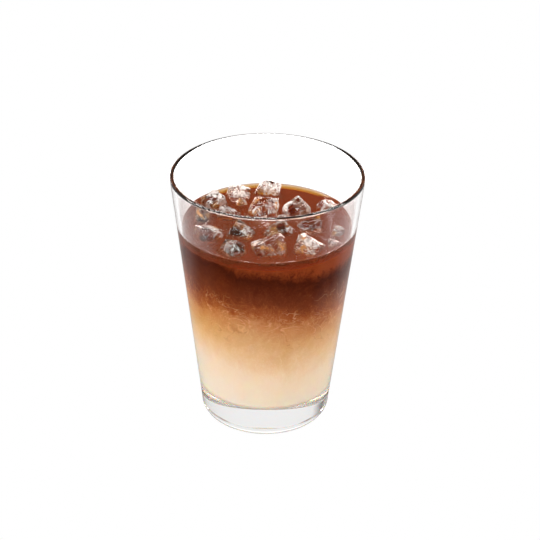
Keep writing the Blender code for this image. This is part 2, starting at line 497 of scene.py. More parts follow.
@dataclass(frozen=True)
class LatteFinish:
    """Milk below, coffee above, and the cloud between them, with painted light laid over them: a golden glow
    on the left, a pale reflection low on the right and shade to the right. Heights are shares of the drink's
    depth.
    """

    foot: float
    level: float
    half_width: float
    stops: tuple[tuple[float, Colour], ...] = (
        (0.00, srgb(246, 235, 220)),
        (0.22, srgb(241, 223, 200)),
        (0.36, srgb(230, 199, 158)),
        (0.47, srgb(216, 174, 126)),
        (0.57, srgb(200, 144, 95)),
        (0.64, srgb(166, 96, 55)),
        (0.71, srgb(128, 64, 35)),
        (0.80, srgb(98, 41, 20)),
        (0.88, srgb(78, 27, 12)),
        (0.95, srgb(150, 69, 32)),
    )
    # Painted shade: how far the layers rise towards the right, which darkens that side.
    painted_shade_lean: float = 0.075
    swirls: Pattern = Pattern(46.0, 2.0, 0.6, (1, 1, 0.8))
    swirl_reach: float = 0.16
    curls: Pattern = Pattern(95.0, 3.0, 3.0, (1, 1, 0.8), (3, 1, 7))
    curl_reach: float = 0.10
    threads: Pattern = Pattern(170.0, 2.0, 4.5, (1, 1, 0.6), (5, 9, 2))
    thread_width: float = 0.035
    thread_reach: float = 0.050
    wisp_lines: Pattern = Pattern(80.0, 1.0, 2.6, (1, 1, 1.1), (8, 2, 5))
    wisp_patches: Pattern = Pattern(75.0, 1.0, 0.0, (1, 1, 1), (2, 7, 3))
    wisp_contrast: Point = (9.0, -4.2)
    wisp_width: float = 0.022
    wisp_fade: float = 0.08
    wisps: tuple[Wisp, ...] = (
        Wisp(srgb(236, 190, 146), 0.50, 0.55, 0.44, 0.78),
        Wisp(srgb(140, 84, 46), 0.45, 0.28, 0.36, 0.62),
    )
    # Painted glow: a golden tint on the left side, as if light shone through its thin edge; its colour, its
    # strength across the drink and its strength with height.
    painted_left_glow: Colour = (1.0, 0.87, 0.54)
    painted_left_glow_across: Point = (-1.4, -0.25)
    painted_left_glow_heights: tuple[Point, ...] = ((0.30, 0.0), (0.55, 1.0), (0.85, 1.0), (0.98, 0.3))
    # Painted reflection: a pale veil low on the right side, as if a bright card were mirrored there; its
    # colour, its strength, its spread across and its spread with height.
    painted_right_veil: Colour = srgb(226, 206, 190)
    painted_right_veil_share: float = 0.18
    painted_right_veil_across: Point = (1.8, -0.85)
    painted_right_veil_heights: tuple[Point, ...] = ((0.0, 1.0), (0.66, 1.0), (0.80, 0.0))
    glow: Colour = (1.0, 0.62, 0.36)
    glow_scale: float = 1.2 * MM

    def material(self) -> bpy.types.Material:
        """Makes the layered drink.

        Returns:
            The material.
        """
        shader = Shader("latte_layers")
        where = shader.parts()
        across = shader.math("DIVIDE", where.outputs["X"], self.half_width)
        height = shader.math("SUBTRACT", where.outputs["Z"], self.foot)
        height = shader.math("DIVIDE", height, self.level - self.foot)
        layers = shader.ramp(self.warped(shader, across, height), self.stops)
        layers = self.with_wisps(shader, height, layers)
        # Painted glow: the left side tinted golden.
        left = shader.math("MULTIPLY_ADD", across, *self.painted_left_glow_across, clamp=True)
        left = shader.math("MULTIPLY", left, self.band(shader, height, self.painted_left_glow_heights))
        layers = shader.mix(left, layers, self.painted_left_glow, "MULTIPLY")
        # Painted reflection: a pale veil low on the right side.
        right = shader.math("MULTIPLY_ADD", across, *self.painted_right_veil_across, clamp=True)
        right = shader.math("MULTIPLY", right, self.painted_right_veil_share)
        right = shader.math("MULTIPLY", right, self.band(shader, height, self.painted_right_veil_heights))
        layers = shader.mix(right, layers, self.painted_right_veil)
        body = shader.add(
            "ShaderNodeBsdfPrincipled",
            Base_Color=layers,
            Roughness=0.6,
            Specular_IOR_Level=0.0,
            Subsurface_Weight=1.0,
            Subsurface_Radius=self.glow,
            Subsurface_Scale=self.glow_scale,
        )
        return shader.show(body.outputs[0])

    @staticmethod
    def band(shader: Shader, height: bpy.types.NodeSocket, heights: Sequence[Point]) -> bpy.types.NodeSocket:
        """A strength that follows the height, from pairs of height and strength."""
        return shader.ramp(height, [(place, (strength,) * 3) for place, strength in heights])

    def warped(self, shader: Shader, across: bpy.types.NodeSocket,
               height: bpy.types.NodeSocket) -> bpy.types.NodeSocket:
        """The height, with the swirls, curls and threads that the coffee draws as it sinks, tilted so that
        the right side comes out darker as painted shade.

        Args:
            shader: The node tree.
            across: How far to the right, as a share of the drink's half width.
            height: Height as a share of the drink's depth.

        Returns:
            The warped height.
        """
        warped = height
        for pattern, reach in ((self.swirls, self.swirl_reach), (self.curls, self.curl_reach)):
            shift = shader.math("MULTIPLY_ADD", shader.pattern(pattern), reach, -reach / 2)
            warped = shader.math("ADD", warped, shift)
        thread = self.line(shader, shader.pattern(self.threads), 0.5, self.thread_width)
        warped = shader.math("MULTIPLY_ADD", thread, -self.thread_reach, warped)
        # Painted shade: the layers rise towards the right, so that side is darker, as if lit from the left.
        return shader.math("MULTIPLY_ADD", across, self.painted_shade_lean, warped)

    @staticmethod
    def line(shader: Shader, field: bpy.types.NodeSocket, centre: float,
             width: float) -> bpy.types.NodeSocket:
        """A soft line where a field passes a value.

        Args:
            shader: The node tree.
            field: The field.
            centre: The value that the line follows.
            width: How far from it the line fades out.

        Returns:
            The line's strength, 0 to 1.
        """
        away = shader.math("ABSOLUTE", shader.math("SUBTRACT", field, centre))
        return shader.math("MULTIPLY_ADD", away, -1 / width, 1.0, clamp=True)

    def with_wisps(self, shader: Shader, height: bpy.types.NodeSocket,
                   layers: bpy.types.NodeSocket) -> bpy.types.NodeSocket:
        """Draws fine pale and dark curls where milk and coffee meet.

        Args:
            shader: The node tree.
            height: Height as a share of the drink's depth.
            layers: The colour so far.

        Returns:
            The colour with the curls.
        """
        lines = shader.pattern(self.wisp_lines)
        patches = shader.pattern(self.wisp_patches)
        patches = shader.math("MULTIPLY_ADD", patches, *self.wisp_contrast, clamp=True)
        for wisp in self.wisps:
            fade_in, fade_out = wisp.low + self.wisp_fade, wisp.high - self.wisp_fade
            heights = [(wisp.low, 0.0), (fade_in, 1.0), (fade_out, 1.0), (wisp.high, 0.0)]
            line = self.line(shader, lines, wisp.centre, self.wisp_width)
            line = shader.math("MULTIPLY", line, patches)
            line = shader.math("MULTIPLY", line, self.band(shader, height, heights))
            layers = shader.mix(shader.math("MULTIPLY", line, wisp.strength), layers, wisp.colour)
        return layers


@dataclass(frozen=True)
class CoffeeFinish:
    """Clear brown coffee over the milky part, which swallows light with depth."""

    side_radius: float
    side_slope: float
    ior: float = 1.33
    passed: Colour = (0.873, 0.685, 0.375)
    passed_over: float = 1.0 * MM
    haze: Colour = srgb(186, 94, 50)
    side_haze: Colour = srgb(136, 68, 38)
    mottle: Pattern = Pattern(90.0, 3.0, 0.8, (1, 1, 1), (2, 4, 1))
    mottle_range: Point = (0.75, 1.2)
    clearness: float = 0.85
    side_clearness: float = 0.60
    ripples: Pattern = Pattern(160.0, 2.0, 0.4)
    ripple_depth: float = 0.06 * MM
    lamp_tint: Colour = (0.9, 0.8, 0.65)

    def material(self) -> bpy.types.Material:
        """Makes the coffee.

        Returns:
            The material.
        """
        shader = Shader("clear_coffee")
        side = shader.beyond(self.side_radius, self.side_slope)
        dark, bright = (tuple(share * channel for channel in self.haze) for share in self.mottle_range)
        haze = shader.mix(shader.pattern(self.mottle), dark, bright)
        haze = shader.mix(side, haze, self.side_haze)
        clearness = shader.math("MULTIPLY_ADD", side, self.side_clearness - self.clearness, self.clearness)
        milky = shader.add("ShaderNodeBsdfPrincipled", Base_Color=haze, Roughness=0.4, Specular_IOR_Level=0.0)
        clear = shader.add(
            "ShaderNodeBsdfPrincipled",
            Base_Color=WHITE,
            Roughness=0.0,
            IOR=self.ior,
            Transmission_Weight=1.0,
            Specular_Tint=shader.mix(side, WHITE, BLACK),
            Normal=shader.bump(shader.pattern(self.ripples), self.ripple_depth),
        )
        lit = shader.lamps_pass(clear.outputs[0], self.lamp_tint)
        surface = shader.blend(clearness, milky.outputs[0], lit)
        return shader.show(surface, self.depth(shader))

    def depth(self, shader: Shader) -> bpy.types.NodeSocket:
        """What the coffee swallows, from the share of each colour that a thin layer passes.

        Args:
            shader: The node tree.

        Returns:
            The volume's shader.
        """
        density = [-math.log(share) / self.passed_over for share in self.passed]
        strongest = max(density)
        kept = tuple(1 - channel / strongest for channel in density)
        return shader.add("ShaderNodeVolumeAbsorption", Color=kept, Density=strongest).outputs[0]


@dataclass(frozen=True)
class IceFinish:
    """Melting ice: clear and pitted. It is white along its ridges, cracks and some facets, partly its real
    frost and partly painted highlight, and golden patches paint the glow of coffee seen through it.
    """

    ior: float = 1.31
    tint: Colour = (0.99, 0.95, 0.90)
    lamp_tint: Colour = (0.95, 0.95, 0.95)
    pits: Pattern = Pattern(1100.0, 3.0)
    pit_depth: float = 0.05 * MM
    # White marks: partly the ice's real frost and cracks, partly painted highlight on its ridges and facets.
    white: Colour = (0.95, 0.90, 0.85)
    clouds: Pattern = Pattern(420.0, 4.0, 1.6, (1, 1, 1), (1, 6, 3))
    cloud_contrast: Point = (4.0, -1.45)
    frost_and_highlight_share: float = 0.9
    # Painted glow: golden patches that stand for coffee seen through the ice, laid on as a matt colour.
    honey: Colour = srgb(208, 146, 82)
    glow: Pattern = Pattern(200.0, 2.0, 0.8, (1, 1, 1), (4, 2, 8))
    glow_contrast: Point = (5.0, -2.2)
    painted_coffee_glow_share: float = 0.55

    def material(self) -> bpy.types.Material:
        """Makes the ice.

        Returns:
            The material.
        """
        shader = Shader("melting_ice")
        frost = self.marked(shader, "frost", self.clouds, self.cloud_contrast, self.frost_and_highlight_share)
        honey = self.marked(shader, "honey", self.glow, self.glow_contrast, self.painted_coffee_glow_share)
        clear = shader.add(
            "ShaderNodeBsdfPrincipled",
            Base_Color=self.tint,
            Roughness=0.02,
            IOR=self.ior,
            Transmission_Weight=1.0,
            Normal=shader.bump(shader.pattern(self.pits), self.pit_depth),
        )
        solid = shader.mix(shader.math("GREATER_THAN", honey, frost), self.white, self.honey)
        cloudy_and_painted = shader.add("ShaderNodeBsdfPrincipled", Base_Color=solid, Roughness=0.3)
        lit = shader.lamps_pass(clear.outputs[0], self.lamp_tint)
        return shader.show(shader.blend(shader.math("MAXIMUM", frost, honey), lit, cloudy_and_painted.outputs[0]))

    @staticmethod
    def marked(shader: Shader, name: str, pattern: Pattern, contrast: Point,
               share: float) -> bpy.types.NodeSocket:
        """Where the ice is white with frost and painted highlight, or golden with painted coffee glow: its
        mesh's mark, broken up by a pattern.

        Args:
            shader: The node tree.
            name: The mark's name.
            pattern: What breaks it up.
            contrast: Factor and offset that sharpen the pattern.
            share: How strong it is at most.

        Returns:
            The strength's socket.
        """
        mark = shader.add("ShaderNodeAttribute", attribute_name=name).outputs["Fac"]
        broken = shader.math("MULTIPLY_ADD", shader.pattern(pattern), *contrast, clamp=True)
        return shader.math("MULTIPLY", shader.math("MULTIPLY", mark, broken), share)


@dataclass
class TumblerShape:
    """Sizes of the glass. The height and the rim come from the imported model."""

    height: float
    rim_radius: float
    heel_wall_radius: float = 30.0 * MM
    heel_round: float = 6.4 * MM
    wall: float = 2.2 * MM
    floor: float = 15.8 * MM
    inner_round: float = 3.0 * MM
    ring_width: float = 3.0 * MM
    recess: float = 0.9 * MM
    recess_round: float = 0.8 * MM
    upper_wall: float = 2.1 * MM
    taper_start: float = 50.0 * MM
    taper_end: float = 95.0 * MM

    def outer(self, z: float) -> float:
        """Radius of the outer wall.

        Args:
            z: The height.

        Returns:
            The radius.
        """
        rise = self.height - self.upper_wall / 2 - self.heel_round
        slope = (self.rim_radius - self.heel_wall_radius) / rise
        return self.heel_wall_radius + slope * (z - self.heel_round)

    def slope(self) -> float:
        """How fast the outer wall widens with height."""
        return self.outer(1.0) - self.outer(0.0)

    def tilt(self) -> float:
        """How far the outer wall leans out, in degrees."""
        return math.degrees(math.atan(self.slope()))

    def inner(self, z: float) -> float:
        """Radius of the inner wall at a height. Behind the drink the wall thins a little upwards."""
        share = smooth_ramp((z - self.taper_start) / (self.taper_end - self.taper_start))
        return self.outer(z) - self.wall + (self.wall - self.upper_wall) * share

    def inner_corner(self) -> Point:
        """Centre of the round between the inner floor and the inner wall."""
        z = self.floor + self.inner_round
        return (self.inner(z) - self.inner_round / math.cos(math.radians(self.tilt())), z)


class Tumbler:
    """The glass itself."""

    STEPS = 192
    FLOOR_STEPS = 6
    CORNER_STEPS = 14
    INNER_WALL_STEPS = 40
    LIP_STEPS = 18
    OUTER_WALL_STEPS = 24
    HEEL_STEPS = 16
    RECESS_STEPS = 5
    END_SHARE = 0.0015

    def __init__(self, shape: TumblerShape, finish: GlassFinish) -> None:
        """Keeps what the glass is made from.

        Args:
            shape: Its sizes.
            finish: Its glass.
        """
        self.shape = shape
        self.finish = finish

    def profile(self) -> list[Point]:
        """Half section: inner floor, inner wall, lip, outer wall, heel and foot.

        Returns:
            The points (radius, height).
        """
        sizes = self.shape
        corner, tilt = sizes.inner_corner(), sizes.tilt()
        lip_round = sizes.upper_wall / 2 * math.cos(math.radians(tilt))
        lip_height = sizes.height - lip_round
        lip_centre = (sizes.outer(lip_height) - sizes.upper_wall / 2, lip_height)
        lip = arc(lip_centre, lip_round, 180 - tilt, -tilt, self.LIP_STEPS)
        heel = (sizes.heel_wall_radius - sizes.heel_round, sizes.heel_round)
        wall_foot = (sizes.heel_wall_radius, sizes.heel_round)
        points = [(corner[0] * i / self.FLOOR_STEPS, sizes.floor) for i in range(self.FLOOR_STEPS)]
        points += arc(corner, sizes.inner_round, -90, -tilt, self.CORNER_STEPS)
        foot, top = points[-1][1], lip[0][1]
        heights = [foot + (top - foot) * share for share in self.shares(self.INNER_WALL_STEPS)]
        points += [(sizes.inner(z), z) for z in heights]
        points += lip
        points += [self.between(lip[-1], wall_foot, share) for share in self.shares(self.OUTER_WALL_STEPS)]
        points += arc(heel, sizes.heel_round, 0, -90, self.HEEL_STEPS)
        points.append((heel[0] - sizes.ring_width / 2, 0.0))
        ring_inner = (heel[0] - sizes.ring_width, sizes.recess_round)
        points += arc(ring_inner, sizes.recess_round, -90, -150, self.RECESS_STEPS)
        hollow = (points[-1][0] - sizes.recess_round, sizes.recess - sizes.recess_round)
        points += arc(hollow, sizes.recess_round, 30, 90, self.RECESS_STEPS)
        inside, steps = points[-1][0], self.FLOOR_STEPS
        points += [(inside * (1 - i / steps), sizes.recess) for i in range(1, steps + 1)]
        return points

    def shares(self, count: int) -> list[float]:
        """Even steps from 0 to 1 without the ends, and one close to each end to hold the shading there."""
        return [self.END_SHARE, *(i / count for i in range(1, count)), 1 - self.END_SHARE]

    @staticmethod
    def between(start: Point, end: Point, share: float) -> Point:
        """A point on the straight line between two others."""
        return (start[0] + (end[0] - start[0]) * share, start[1] + (end[1] - start[1]) * share)

    def build(self) -> bpy.types.Object:
        """Makes the glass and puts it in the scene.

        Returns:
            The new object.
        """
        shape = spun(self.profile(), self.STEPS)
        glass = as_object("tumbler_glass", shape, self.finish.material())
        return dressed(glass, ["tumbler"])


@dataclass
class DrinkShape:
    """Sizes of the drink inside the glass."""

    glass: TumblerShape
    level: float
    into_wall: float = 0.12 * MM
    overlap: float = 0.3 * MM
    clear_depth_middle: float = 3.6 * MM
    clear_depth_wall: float = 3.2 * MM
    clear_slope_width: float = 12.0 * MM
    meniscus_rise: float = 0.8 * MM
    meniscus_reach: float = 4.4 * MM
    meniscus_length: float = 1.4 * MM
    billow_size: float = 14.0 * MM
    billow_height: float = 0.7 * MM
    billow_depth: float = 2.0 * MM
    still_depth: float = 1.0 * MM
    corner_gap: float = 1.0 * MM

    def side(self, z: float) -> float:
        """Radius of the drink's side, which reaches just into the glass."""
        return self.glass.inner(z) + self.into_wall

    def clear_floor(self, radius: float) -> float:
        """Height at which the clear coffee ends and the milky part begins.

        Args:
            radius: Distance from the axis.

        Returns:
            The height.
        """
        from_wall = self.side(self.level) - radius
        share = smooth_ramp(from_wall / self.clear_slope_width)
        depth = self.clear_depth_wall + (self.clear_depth_middle - self.clear_depth_wall) * share
        return self.level - depth

    def billow(self, x: float, y: float) -> float:
        """How far the milky part swells up at a place in plan, nothing at the wall.

        Args:
            x: The place along X.
            y: The place along Y.

        Returns:
            The swelling, which may be negative.
        """
        from_wall = self.side(self.level) - math.hypot(x, y)
        share = smooth_ramp(from_wall / self.clear_slope_width)
        return noise.noise(Vector((x, y, 0)) / self.billow_size) * self.billow_height * share


class Drink:
    """The milky body of the drink and the clear coffee that lies on it."""

    STEPS = 192
    RINGS = 48
    MENISCUS_STEPS = 20
    WALL_STEPS = 40
    CORNER_STEPS = 12
    EDGE_STEPS = 6

    def __init__(self, shape: DrinkShape, layers: LatteFinish, clear: CoffeeFinish) -> None:
        """Keeps what the drink is made from.

        Args:
            shape: Its sizes.
            layers: The finish of the milky part.
            clear: The finish of the clear coffee on top.
        """
        self.shape = shape
        self.layers = layers.material()
        self.clear = clear.material()

    def wall(self, top: float, bottom: float, count: int) -> list[Point]:
        """Points down the side from one level to another, in a number of steps."""
        heights = [top + (bottom - top) * i / count for i in range(count + 1)]
        return [(self.shape.side(z), z) for z in heights]

    def bowl(self, lower: float = 0.0) -> list[Point]:
        """The boundary under the clear coffee, from the axis to the side.

        Args:
            lower: How much deeper it lies than the top of the milky part.

        Returns:
            The points (radius, height).
        """
        sizes = self.shape
        side = sizes.side(sizes.level - sizes.clear_depth_wall - lower)
        radii = [side * i / self.RINGS for i in range(self.RINGS + 1)]
        return [(radius, sizes.clear_floor(radius) - lower) for radius in radii]

    def body_profile(self) -> list[Point]:
        """The milky part, which fills the round corner of the glass.

        Returns:
            The points (radius, height).
        """
        sizes = self.shape
        corner = sizes.glass.inner_corner()
        reach = sizes.glass.inner_round + sizes.into_wall
        top = self.bowl()
        points = top + self.wall(top[-1][1], corner[1] + sizes.corner_gap, self.WALL_STEPS)[1:]
        points += arc(corner, reach, 0, -90, self.CORNER_STEPS)
        points += [(corner[0] * (1 - i / self.RINGS), corner[1] - reach) for i in range(1, self.RINGS + 1)]
        return points

    def clear_profile(self) -> list[Point]:
        """The clear coffee, with a meniscus that climbs the glass.

        Returns:
            The points (radius, height).
        """
        sizes = self.shape
        rim = sizes.side(sizes.level + sizes.meniscus_rise)
        foot = rim - sizes.meniscus_reach
        points = [(foot * i / self.RINGS, sizes.level) for i in range(self.RINGS)]
        last = math.exp(-sizes.meniscus_reach / sizes.meniscus_length)
        for i in range(self.MENISCUS_STEPS + 1):
            from_wall = sizes.meniscus_reach * (1 - i / self.MENISCUS_STEPS)
            share = (math.exp(-from_wall / sizes.meniscus_length) - last) / (1 - last)
            points.append((rim - from_wall, sizes.level + sizes.meniscus_rise * share))
        under = self.bowl(sizes.overlap)[::-1]
        points += self.wall(sizes.level, under[0][1], self.EDGE_STEPS)
        points += under[1:]
        return points

    def swell(self, shape: bmesh.types.BMesh) -> None:
        """Rolls the boundary between the milky part and the clear coffee.

        Args:
            shape: The shape of either.
        """
        sizes = self.shape
        low = sizes.level - sizes.clear_depth_middle - sizes.billow_depth
        high = sizes.level - sizes.still_depth
        for vertex in shape.verts:
            if low < vertex.co.z < high:
                vertex.co.z += sizes.billow(vertex.co.x, vertex.co.y)

    def build(self, ice: "Ice") -> None:
        """Makes the milky part and the clear coffee, both cut round the ice.

        Args:
            ice: The ice that floats in it.
        """
        pieces = []
        for name, profile, finish in (
            ("latte_body", self.body_profile(), self.layers),
            ("coffee_surface", self.clear_profile(), self.clear),
        ):
            shape = spun(profile, self.STEPS)
            self.swell(shape)
            pieces.append(as_object(name, shape, finish))
        body, surface = pieces
        ice.press_into(pieces)
        dressed(body, ["milk", "milky_coffee", "coffee"])
        dressed(surface)


class Cloudiness(Enum):
    """How much of a block is white."""

    SPARKLING = 0.50
    MIXED = 0.75
    WHITE = 1.0


# How white each block is painted: partly its real cloudiness, partly painted highlight.
CLOUDY_BLOCKS = {
    "ice_back_centre": Cloudiness.WHITE,
    "ice_back_white": Cloudiness.WHITE,
    "ice_centre_right": Cloudiness.WHITE,
    "ice_centre": Cloudiness.MIXED,
    "ice_back_left": Cloudiness.MIXED,
    "ice_front_right": Cloudiness.MIXED,
}


@dataclass
class IceShape:
    """How a block of ice is melted out of its plain solid."""

    voxel: float = 0.45 * MM
    smooth_rounds: int = 3
    dent_size: float = 4.2 * MM
    dent_depth: float = 0.55 * MM
    dent_balance: float = 0.4
    pit_size: float = 1.5 * MM
    pit_depth: float = 0.12 * MM
    into_drink: float = 0.10 * MM
    # White marks, partly frost and partly painted highlight, on ridges, cracks and facets; golden facets are
    # painted coffee glow.
    facet_size: float = 5.0 * MM
    frost_and_highlight_facets: float = 0.45
    painted_coffee_glow_above: float = 0.1
    crack_width: float = 0.10
    crack_frost: float = 0.8
    ridge: Point = (0.10, 0.34)


class Ice:
    """Every block and chip that breaks the surface, each with its own shift of the patterns."""

    PATTERN_STEP = (3.7, 1.9, 5.3)
    FACET_SHIFT = 1.7
    FROST_AND_HIGHLIGHT_SEED = 31.0
    PAINTED_COFFEE_GLOW_SEED = 47.0
    SHARP_ANGLE = 38.0

    def __init__(self, shape: IceShape, finish: IceFinish, nodes: Sequence[str]) -> None:
        """Keeps what the ice is made from.

        Args:
            shape: How the blocks are melted.
            finish: Their finish.
            nodes: The solids of the ice.
        """
        self.shape = shape
        self.material = finish.material()
        self.nodes = list(nodes)
        self.blocks: list[bpy.types.Object] = []

    def melted(self, node: str, index: int) -> bpy.types.Object:
        """One block, made from its solid with an even fine mesh and an uneven surface.

        Args:
            node: The solid's name.
            index: Its place in the list, which sets where the dents fall.

        Returns:
            The new object.
        """
        sizes = self.shape
        shape = bmesh.new()
        shape.from_mesh(frame["nodes"][node].data)
        bmesh.ops.remove_doubles(shape, verts=shape.verts[:], dist=SAME_PLACE)
        block = as_object(node + "_melted", shape, self.material)
        with_modifier(block, "REMESH", mode="VOXEL", voxel_size=sizes.voxel, use_smooth_shade=True)
        shape = bmesh.new()
        shape.from_mesh(block.data)
        self.smooth(shape, sizes.smooth_rounds)
        shape.normal_update()
        shift = Vector([index * step for step in self.PATTERN_STEP])
        for vertex in shape.verts:
            near = noise.voronoi(vertex.co / sizes.dent_size + shift)[0]
            dent = (near[1] - near[0]) * sizes.dent_depth - sizes.dent_balance * sizes.dent_depth
            pit = noise.noise(vertex.co / sizes.pit_size + shift) * sizes.pit_depth
            vertex.co += vertex.normal * (dent + pit)
        self.smooth(shape, 1)
        self.frost(shape, shift, CLOUDY_BLOCKS.get(node, Cloudiness.SPARKLING))
        shape.to_mesh(block.data)
        shape.free()
        block.data.materials.clear()
        block.data.materials.append(self.material)
        block.data.shade_smooth()
        return block

    @staticmethod
    def smooth(shape: bmesh.types.BMesh, rounds: int) -> None:
        """Evens out a shape, as melting does.

        Args:
            shape: The shape to change.
            rounds: How often.
        """
        for _ in range(rounds):
            bmesh.ops.smooth_vert(
                shape, verts=shape.verts[:], factor=0.5, use_axis_x=True, use_axis_y=True, use_axis_z=True
            )

    def frost(self, shape: bmesh.types.BMesh, shift: Vector, cloudiness: Cloudiness) -> None:
        """Marks where a block is white or golden: white along its ridges, cracks and some facets, partly real
        frost and partly painted highlight, and golden facets of painted coffee glow.

        Args:
            shape: The block.
            shift: Shift of its random pattern.
            cloudiness: How much of it is white.
        """
        sizes = self.shape
        frost = shape.verts.layers.float.new("frost")
        honey = shape.verts.layers.float.new("honey")
        shape.normal_update()
        low, high = sizes.ridge
        for vertex in shape.verts:
            near = [edge.other_vert(vertex).co for edge in vertex.link_edges]
            sunk = vertex.co - sum(near, Vector()) / len(near)
            # Painted highlight, with some frost: ridges are marked white.
            ridge = smooth_ramp((sunk.dot(vertex.normal) / sizes.voxel - low) / (high - low))
            distances, points = noise.voronoi(vertex.co / sizes.facet_size + shift * self.FACET_SHIFT)
            crack = 1.0 - smooth_ramp((distances[1] - distances[0]) / sizes.crack_width)
            chance = noise.cell(points[0] * self.FROST_AND_HIGHLIGHT_SEED)
            facet = 1.0 if abs(chance) < sizes.frost_and_highlight_facets * cloudiness.value else 0.0
            vertex[frost] = max(ridge, crack * sizes.crack_frost, facet) * cloudiness.value
            # Painted glow: some facets are marked golden, standing for coffee seen through the ice.
            golden = noise.cell(points[0] * self.PAINTED_COFFEE_GLOW_SEED + shift) > sizes.painted_coffee_glow_above
            vertex[honey] = 1.0 if golden and cloudiness is not Cloudiness.WHITE else 0.0

    def build(self) -> None:
        """Makes every block."""
        for index, node in enumerate(self.nodes):
            block = self.melted(node, index)
            self.blocks.append(dressed(block, [node]))

    def press_into(self, pieces: Sequence[bpy.types.Object]) -> None:
        """Cuts the ice out of the drink, a hair inside the ice's own surface.

        Args:
            pieces: The pieces of the drink.
        """
        pockets = bpy.data.collections.new("ice_pockets")
        bpy.context.scene.collection.children.link(pockets)
        for block in self.blocks:
            shape = bmesh.new()
            shape.from_mesh(block.data)
            shape.normal_update()
            for vertex in shape.verts:
                vertex.co -= vertex.normal * self.shape.into_drink
            mesh = bpy.data.meshes.new(block.name + "_pocket")
            shape.to_mesh(mesh)
            shape.free()
            pockets.objects.link(bpy.data.objects.new(mesh.name, mesh))
        for piece in pieces:
            with_modifier(
                piece,
                "BOOLEAN",
                operation="DIFFERENCE",
                operand_type="COLLECTION",
                collection=pockets,
                solver="MANIFOLD",
            )
            piece.data.shade_smooth()
            piece.data.set_sharp_from_angle(angle=math.radians(self.SHARP_ANGLE))
        for pocket in list(pockets.objects):
            bpy.data.objects.remove(pocket)
        bpy.data.collections.remove(pockets)


@dataclass
class CameraPlace:
    """Where the photograph was taken from."""

    distance: float = 900.0 * MM
    elevation: float = 29.646
    roll: float = 0.641
    focal_pixels: float = 1938.2
    picture_pixels: float = 540.0
    glass_middle_pixel: Point = (266.25, 292.81)
    glass_middle: float = 61.5 * MM
    sensor: float = 36.0
    clip: Point = (0.01, 50.0)


class PanelKind(Enum):
    """What a panel is there for."""

    LAMP = "lights what is matt"
    GLINT = "shows in what is clear or shiny"


@dataclass(frozen=True)
class Panel:
    """A bright rectangle that points at the drink."""

    name: str
    distance: float
    azimuth: float
    elevation: float
    size: Point
    power: float
    kind: PanelKind = PanelKind.LAMP
    colour: Colour = WHITE

    def place(self, aim: Vector) -> Matrix:
        """Where it hangs. Azimuth 0 is behind the drink, and 90 is on its right.

        Args:
            aim: What it points at.

        Returns:
            Its place and turn, its face along -Z.
        """
        azimuth, elevation = math.radians(self.azimuth), math.radians(self.elevation)
        flat = Vector((math.sin(azimuth), math.cos(azimuth), 0)) * math.cos(elevation)
        where = (flat + Vector((0, 0, math.sin(elevation)))) * self.distance
        turn = (aim - where).to_track_quat("-Z", "Y").to_matrix().to_4x4()
        return Matrix.Translation(where) @ turn

    def radiance(self) -> float:
        """How bright its face is."""
        return self.power / (math.pi * self.size[0] * self.size[1])


